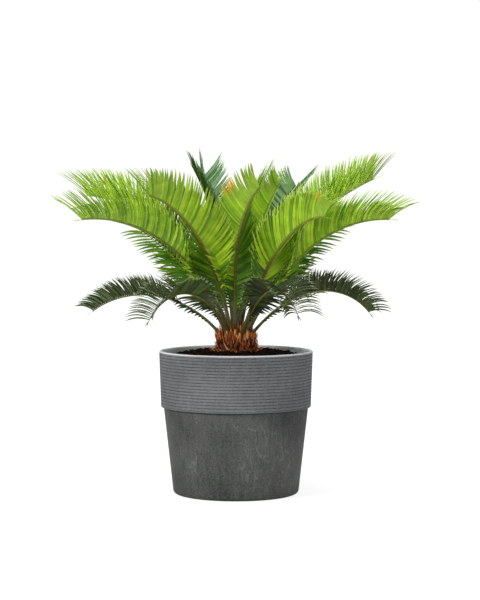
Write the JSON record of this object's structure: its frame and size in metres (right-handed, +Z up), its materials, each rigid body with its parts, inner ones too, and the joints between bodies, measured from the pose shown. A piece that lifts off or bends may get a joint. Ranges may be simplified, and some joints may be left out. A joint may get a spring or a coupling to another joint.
{
  "type": "potted sago palm",
  "caption": "A sago palm with arching feather-like fronds in a crown on a short scaly trunk, standing in soil in a round tapered planter with a wide collar.",
  "frame": {"origin": "centre of the pot's flat underside", "axes": "+Z up along the pot's axis; -Y towards the front, where the picture was taken from; +X to the right seen from the front"},
  "size_m": [0.9189, 0.9704, 0.8985],
  "materials": {
    "pot": "mid grey matte planter moulded with fine horizontal ribs round its collar",
    "soil": "dark brown crumbly potting soil with wood chips",
    "trunk": "rough brown pointed scales with orange edges",
    "frond_deep": "dark green leathery leaflets on an olive rib",
    "frond_lime": "bright yellow-green satin leaflets on an olive rib",
    "frond_mid": "mid green satin leaflets on an olive rib",
    "frond_pale": "pale bluish green satin leaflets on an olive rib"
  },
  "bodies": {
    "root": {"pot": "pot", "soil": "soil", "trunk": "trunk", "frond_low_left_inner": "frond_deep", "frond_low_left_outer": "frond_deep", "frond_low_front_left_inner": "frond_deep", "frond_low_front_left_outer": "frond_deep", "frond_low_front_right_inner": "frond_deep", "frond_low_front_right_outer": "frond_deep", "frond_low_right_inner": "frond_deep", "frond_low_right_outer": "frond_deep", "frond_low_back_right_inner": "frond_deep", "frond_low_back_right_outer": "frond_deep", "frond_low_back_inner": "frond_deep", "frond_low_back_outer": "frond_deep", "frond_low_back_left_inner": "frond_deep", "frond_low_back_left_outer": "frond_deep", "frond_left": "frond_lime", "frond_right": "frond_lime", "frond_front_right": "frond_lime", "frond_front": "frond_lime", "frond_upper_left": "frond_lime", "frond_upper_right": "frond_lime", "frond_upper_back_left": "frond_lime", "frond_inner_back_right": "frond_lime", "frond_inner_back": "frond_lime", "frond_inner_right": "frond_lime", "frond_side_left": "frond_mid", "frond_side_right": "frond_mid", "frond_back_right": "frond_mid", "frond_back": "frond_mid", "frond_back_left": "frond_mid", "frond_upper_back_right": "frond_mid", "frond_inner_back_left": "frond_mid", "frond_inner_left": "frond_mid", "frond_upper_back": "frond_pale"}
  },
  "joints": []
}
